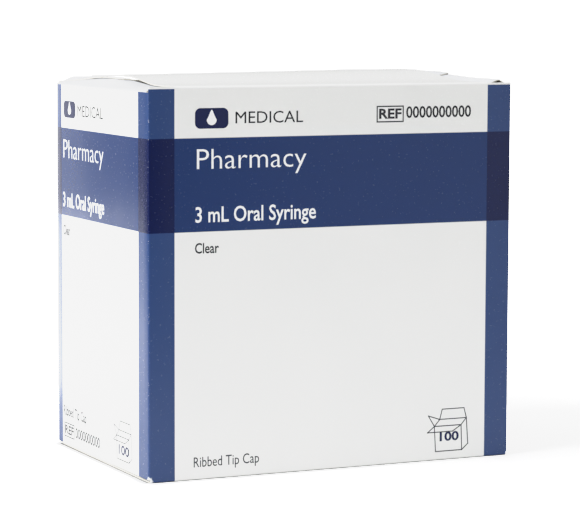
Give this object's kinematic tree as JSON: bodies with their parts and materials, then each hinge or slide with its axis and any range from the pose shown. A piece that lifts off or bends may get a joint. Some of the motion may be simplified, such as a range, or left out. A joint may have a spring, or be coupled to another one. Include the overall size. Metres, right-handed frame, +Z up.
{
  "type": "carton of oral syringes",
  "caption": "Printed folding carton with hinged top flaps, packed with clear oral syringes whose plungers draw and ribbed tip caps pull off.",
  "frame": {"origin": "middle of the carton's base, on the surface that it stands on", "axes": "+X along the carton's width towards its right panel, +Y from its front panel towards its back panel, +Z up"},
  "size_m": [0.1588, 0.1016, 0.1566],
  "materials": {
    "coated_board": "white clay-coated folding board, navy and mid-blue print under a gloss varnish",
    "raw_board": "uncoated inside of the folding board, matt",
    "clear_polypropylene": "moulded clear polypropylene, slightly hazy, gloss",
    "white_polypropylene": "moulded white polypropylene, satin gloss",
    "dark_rubber": "moulded black synthetic rubber, silicone oiled",
    "white_polyethylene": "moulded white polyethylene, matt"
  },
  "bodies": {
    "carton": {"front_panel": "coated_board", "back_panel": "coated_board", "left_panel": "coated_board", "right_panel": "coated_board", "glue_seam_flap": "raw_board", "bottom_outer_flap": "coated_board", "bottom_inner_flap": "coated_board", "bottom_dust_flap_left": "coated_board", "bottom_dust_flap_right": "coated_board", "barrel_1": "clear_polypropylene", "barrel_2": "clear_polypropylene", "barrel_3": "clear_polypropylene", "barrel_4": "clear_polypropylene", "barrel_5": "clear_polypropylene", "barrel_6": "clear_polypropylene", "syringe_row_1": "clear_polypropylene", "syringe_row_2": "clear_polypropylene", "syringe_row_3": "clear_polypropylene", "syringe_row_4": "clear_polypropylene", "syringe_row_5": "clear_polypropylene", "syringe_row_6": "clear_polypropylene", "syringe_row_7": "clear_polypropylene", "syringe_row_8": "clear_polypropylene", "syringe_row_9": "clear_polypropylene"},
    "lid": {"lid_flap": "coated_board"},
    "inner_flap": {"inner_top_flap": "coated_board"},
    "dust_flap_left": {"top_dust_flap_left": "coated_board"},
    "dust_flap_right": {"top_dust_flap_right": "coated_board"},
    "plunger_1": {"plunger_rod_1": "white_polypropylene", "piston_seal_1": "dark_rubber"},
    "cap_1": {"tip_cap_1": "white_polyethylene"},
    "plunger_2": {"plunger_rod_2": "white_polypropylene", "piston_seal_2": "dark_rubber"},
    "cap_2": {"tip_cap_2": "white_polyethylene"},
    "plunger_3": {"plunger_rod_3": "white_polypropylene", "piston_seal_3": "dark_rubber"},
    "cap_3": {"tip_cap_3": "white_polyethylene"},
    "plunger_4": {"plunger_rod_4": "white_polypropylene", "piston_seal_4": "dark_rubber"},
    "cap_4": {"tip_cap_4": "white_polyethylene"},
    "plunger_5": {"plunger_rod_5": "white_polypropylene", "piston_seal_5": "dark_rubber"},
    "cap_5": {"tip_cap_5": "white_polyethylene"},
    "plunger_6": {"plunger_rod_6": "white_polypropylene", "piston_seal_6": "dark_rubber"},
    "cap_6": {"tip_cap_6": "white_polyethylene"}
  },
  "joints": [
    {"name": "lid_hinge", "type": "hinge", "parent": "carton", "child": "lid", "pos_m": [0, -0.0508, 0.153], "axis": [1, 0, 0], "range_deg": [0, 255]},
    {"name": "inner_flap_hinge", "type": "hinge", "parent": "carton", "child": "inner_flap", "pos_m": [0, 0.0508, 0.1522], "axis": [-1, 0, 0], "range_deg": [0, 153]},
    {"name": "dust_flap_left_hinge", "type": "hinge", "parent": "carton", "child": "dust_flap_left", "pos_m": [-0.07938, 0, 0.1514], "axis": [0, -1, 0], "range_deg": [0, 102]},
    {"name": "dust_flap_right_hinge", "type": "hinge", "parent": "carton", "child": "dust_flap_right", "pos_m": [0.07938, 0, 0.1514], "axis": [0, 1, 0], "range_deg": [0, 102]},
    {"name": "plunger_1_draw", "type": "slide", "parent": "carton", "child": "plunger_1", "axis": [-1, 0, 0], "range_m": [0, 0.051]},
    {"name": "cap_1_pull", "type": "slide", "parent": "carton", "child": "cap_1", "axis": [1, 0, 0], "range_m": [0, 0.012]},
    {"name": "plunger_2_draw", "type": "slide", "parent": "carton", "child": "plunger_2", "axis": [1, 0, 0], "range_m": [0, 0.051]},
    {"name": "cap_2_pull", "type": "slide", "parent": "carton", "child": "cap_2", "axis": [-1, 0, 0], "range_m": [0, 0.012]},
    {"name": "plunger_3_draw", "type": "slide", "parent": "carton", "child": "plunger_3", "axis": [-1, 0, 0], "range_m": [0, 0.051]},
    {"name": "cap_3_pull", "type": "slide", "parent": "carton", "child": "cap_3", "axis": [1, 0, 0], "range_m": [0, 0.012]},
    {"name": "plunger_4_draw", "type": "slide", "parent": "carton", "child": "plunger_4", "axis": [1, 0, 0], "range_m": [0, 0.051]},
    {"name": "cap_4_pull", "type": "slide", "parent": "carton", "child": "cap_4", "axis": [-1, 0, 0], "range_m": [0, 0.012]},
    {"name": "plunger_5_draw", "type": "slide", "parent": "carton", "child": "plunger_5", "axis": [-1, 0, 0], "range_m": [0, 0.051]},
    {"name": "cap_5_pull", "type": "slide", "parent": "carton", "child": "cap_5", "axis": [1, 0, 0], "range_m": [0, 0.012]},
    {"name": "plunger_6_draw", "type": "slide", "parent": "carton", "child": "plunger_6", "axis": [1, 0, 0], "range_m": [0, 0.051]},
    {"name": "cap_6_pull", "type": "slide", "parent": "carton", "child": "cap_6", "axis": [-1, 0, 0], "range_m": [0, 0.012]}
  ],
  "couplings": [
    {"joint": "inner_flap_hinge", "follows": "lid_hinge", "ratio": 0.6},
    {"joint": "dust_flap_left_hinge", "follows": "lid_hinge", "ratio": 0.4},
    {"joint": "dust_flap_right_hinge", "follows": "lid_hinge", "ratio": 0.4}
  ]
}
